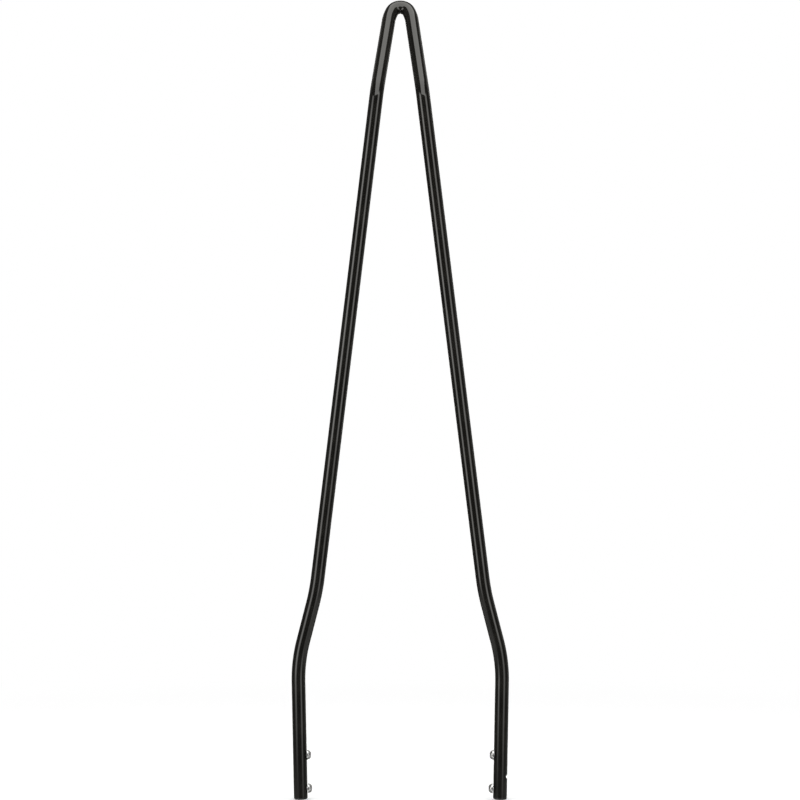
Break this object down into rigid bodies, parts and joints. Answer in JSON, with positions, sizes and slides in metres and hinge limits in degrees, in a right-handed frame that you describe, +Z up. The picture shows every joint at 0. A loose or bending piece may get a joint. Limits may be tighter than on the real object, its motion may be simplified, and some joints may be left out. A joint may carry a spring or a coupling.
{
  "type": "sissy bar",
  "caption": "Tall sissy bar for a motorbike: a round bar bent to a narrow A with a tight loop, its top kicked to the rear, and button head screws with lock washers in the inner sides of its feet",
  "frame": {"origin": "midway between the two legs, at the middle of the four screws' pattern", "axes": "X across the bike, from leg to leg; +Y to the rear, the way the top is kicked; +Z up along the bar"},
  "size_m": [0.2476, 0.0801, 0.9189],
  "materials": {
    "gloss_black_paint": "gloss",
    "bright_plated_steel": "bright plated"
  },
  "bodies": {
    "root": {"bent_bar": "gloss_black_paint", "mounting_screws": "bright_plated_steel", "lock_washers": "bright_plated_steel"}
  },
  "joints": []
}
